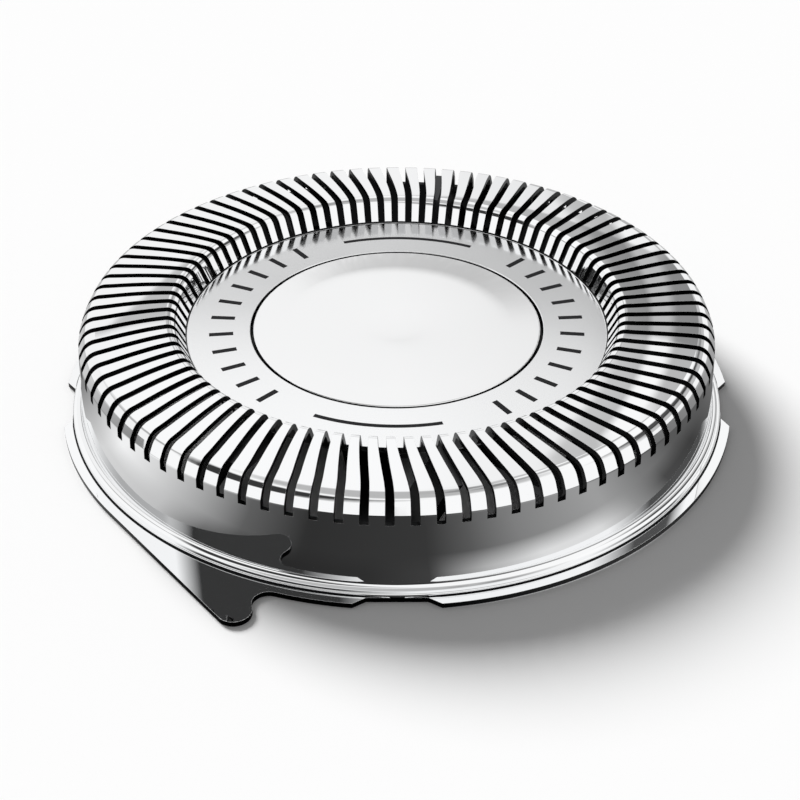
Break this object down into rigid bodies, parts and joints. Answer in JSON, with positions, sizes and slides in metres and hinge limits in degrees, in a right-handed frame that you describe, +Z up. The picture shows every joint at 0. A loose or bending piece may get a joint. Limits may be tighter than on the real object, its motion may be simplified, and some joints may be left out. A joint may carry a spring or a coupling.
{
  "type": "rotary shaver head",
  "caption": "Round steel shaving head: a flanged guard cup with slanted slots over a raised track and a recessed plateau, and a bladed cutter that spins inside it.",
  "frame": {"origin": "centre of the drive socket's mouth, on the head's axis, level with the flange's underside", "axes": "+Z up along the head's axis towards the shaving side, -Y towards the front, where one notch sits"},
  "size_m": [0.0236, 0.0245, 0.0036],
  "materials": {
    "guard_steel": "polished",
    "cap_steel": "polished",
    "cutter_steel": "ground",
    "bush_plastic": "moulded",
    "coupling_plastic": "moulded"
  },
  "bodies": {
    "guard": {"guard_cup": "guard_steel", "centre_cap": "cap_steel", "bearing_bush": "bush_plastic"},
    "cutter": {"cutter_blades": "cutter_steel", "drive_coupling": "coupling_plastic"}
  },
  "joints": [
    {"name": "cutter_spin", "type": "hinge", "parent": "guard", "child": "cutter", "pos_m": [0, 0, 0], "axis": [0, 0, 1], "continuous": true}
  ]
}
